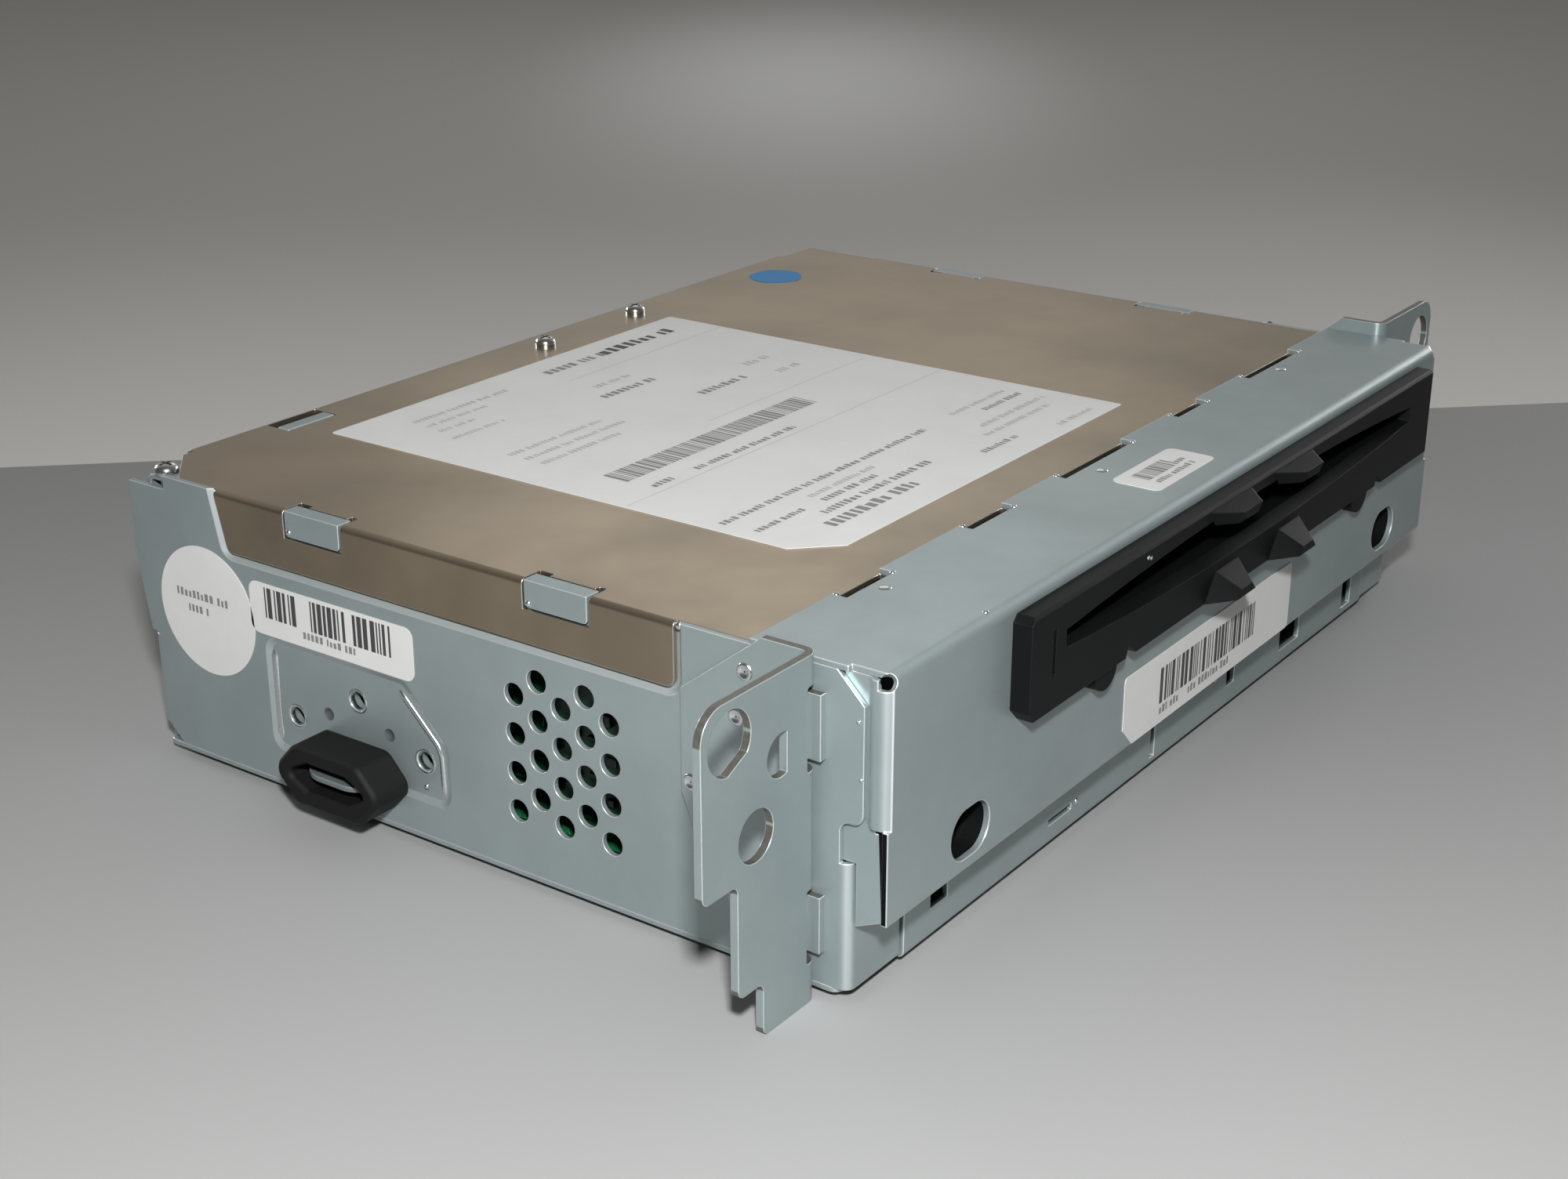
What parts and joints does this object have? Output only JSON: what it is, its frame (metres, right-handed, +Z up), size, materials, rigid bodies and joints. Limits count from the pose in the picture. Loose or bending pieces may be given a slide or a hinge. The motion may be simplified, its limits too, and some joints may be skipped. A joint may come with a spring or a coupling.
{
  "type": "slot-loading car disc player",
  "caption": "Slot-loading disc drive module for a dashboard: folded steel case, ears, slot bezel, and a roller-fed disc mechanism inside.",
  "frame": {"origin": "centre of the footprint of the bounding box, on the plane that the feet stand on", "axes": "+X along the width, from the vented side with the rubber sleeve to the other side; +Y from the disc slot to the connectors at the rear; +Z up"},
  "size_m": [0.2284, 0.1468, 0.0505],
  "materials": {
    "zinc_steel": "satin zinc plate, bluish grey",
    "cover_steel": "satin plate, warm brownish grey",
    "deck_steel": "satin zinc plate",
    "black_plastic": "matte moulded",
    "blue_plastic": "matte moulded",
    "white_plastic": "matte moulded",
    "black_rubber": "matte rubber",
    "felt": "felt",
    "screw_chrome": "bright plate",
    "bare_aluminium": "satin",
    "contact_brass": "bright",
    "board_green": "green lacquer",
    "lens_glass": "clear, bluish"
  },
  "bodies": {
    "case": {"left_side_plate": "zinc_steel", "right_side_plate": "zinc_steel", "top_cover": "cover_steel", "front_hood": "zinc_steel", "bottom_cover": "zinc_steel", "rear_panel": "zinc_steel", "left_ear_bracket": "zinc_steel", "right_ear_bracket": "zinc_steel", "slot_bezel": "black_plastic", "slot_felts": "felt", "locating_tongue": "zinc_steel", "rubber_sleeve": "black_rubber", "cover_screws": "screw_chrome", "rubber_feet": "black_rubber", "main_board": "board_green", "capacitors": "bare_aluminium", "board_chips": "black_plastic", "rear_plug": "black_plastic", "plug_pins": "contact_brass", "coax_sockets": "blue_plastic", "ribbon_cable": "white_plastic", "drive_deck": "deck_steel", "deck_posts": "deck_steel", "rubber_dampers": "black_rubber", "guide_plate": "deck_steel", "disc_guides": "black_plastic", "spindle_motor": "bare_aluminium", "clamp_pin": "screw_chrome", "guide_rods": "screw_chrome", "feed_motor": "bare_aluminium", "gear_studs": "screw_chrome", "loading_motor": "bare_aluminium", "motor_bracket": "deck_steel", "deck_screws": "screw_chrome"},
    "turntable": {"turntable": "black_plastic"},
    "clamp_arm": {"clamp_arm": "deck_steel"},
    "clamp_puck": {"clamp_puck": "white_plastic"},
    "pickup": {"pickup_sled": "black_plastic", "pickup_lens": "lens_glass"},
    "feed_gear": {"feed_gear": "white_plastic"},
    "feed_pinion": {"feed_pinion": "white_plastic"},
    "roller_arm": {"roller_arm": "deck_steel"},
    "roller": {"roller_shaft": "screw_chrome", "loading_roller": "black_rubber", "roller_gear": "white_plastic"},
    "transfer_gear": {"transfer_gear": "white_plastic"},
    "compound_gear": {"compound_gear": "white_plastic"},
    "loading_pinion": {"loading_pinion": "white_plastic"},
    "disc_lever": {"disc_lever": "white_plastic"}
  },
  "joints": [
    {"name": "turntable_spin", "type": "hinge", "parent": "case", "child": "turntable", "pos_m": [0.0099, -0.00085, 0.0377], "axis": [0, 0, 1], "continuous": true},
    {"name": "clamp_swing", "type": "hinge", "parent": "case", "child": "clamp_arm", "pos_m": [0.0099, 0.05465, 0.0451], "axis": [1, 0, 0], "range_deg": [0, 3.7]},
    {"name": "puck_spin", "type": "hinge", "parent": "clamp_arm", "child": "clamp_puck", "pos_m": [0.0099, -0.00085, 0.0451], "axis": [0, 0, 1], "continuous": true},
    {"name": "pickup_slide", "type": "slide", "parent": "case", "child": "pickup", "axis": [0, 1, 0], "range_m": [0, 0.033]},
    {"name": "feed_gear_spin", "type": "hinge", "parent": "case", "child": "feed_gear", "pos_m": [-0.01898, 0.02515, 0.0334], "axis": [0, 0, 1], "continuous": true},
    {"name": "feed_pinion_spin", "type": "hinge", "parent": "case", "child": "feed_pinion", "pos_m": [-0.03156, 0.02515, 0.0354], "axis": [0, 0, 1], "continuous": true},
    {"name": "roller_arm_swing", "type": "hinge", "parent": "case", "child": "roller_arm", "pos_m": [0.0099, -0.03485, 0.0351], "axis": [-1, 0, 0], "range_deg": [0, 11.5]},
    {"name": "roller_spin", "type": "hinge", "parent": "roller_arm", "child": "roller", "pos_m": [0.0099, -0.05085, 0.0349], "axis": [1, 0, 0], "continuous": true},
    {"name": "transfer_gear_spin", "type": "hinge", "parent": "case", "child": "transfer_gear", "pos_m": [-0.059, -0.04582, 0.04208], "axis": [1, 0, 0], "continuous": true},
    {"name": "compound_gear_spin", "type": "hinge", "parent": "case", "child": "compound_gear", "pos_m": [-0.059, -0.04187, 0.03813], "axis": [1, 0, 0], "continuous": true},
    {"name": "loading_pinion_spin", "type": "hinge", "parent": "case", "child": "loading_pinion", "pos_m": [-0.0615, -0.03877, 0.0296], "axis": [1, 0, 0], "continuous": true},
    {"name": "disc_lever_swing", "type": "hinge", "parent": "case", "child": "disc_lever", "pos_m": [-0.0301, 0.06135, 0.0405], "axis": [0, 0, -1], "range_deg": [0, 10]}
  ],
  "couplings": [
    {"joint": "feed_gear_spin", "follows": "pickup_slide", "rad_per_m": 333.33},
    {"joint": "feed_pinion_spin", "follows": "pickup_slide", "rad_per_m": -1333.3},
    {"joint": "transfer_gear_spin", "follows": "compound_gear_spin", "ratio": -1.2},
    {"joint": "loading_pinion_spin", "follows": "compound_gear_spin", "ratio": -2.6}
  ]
}
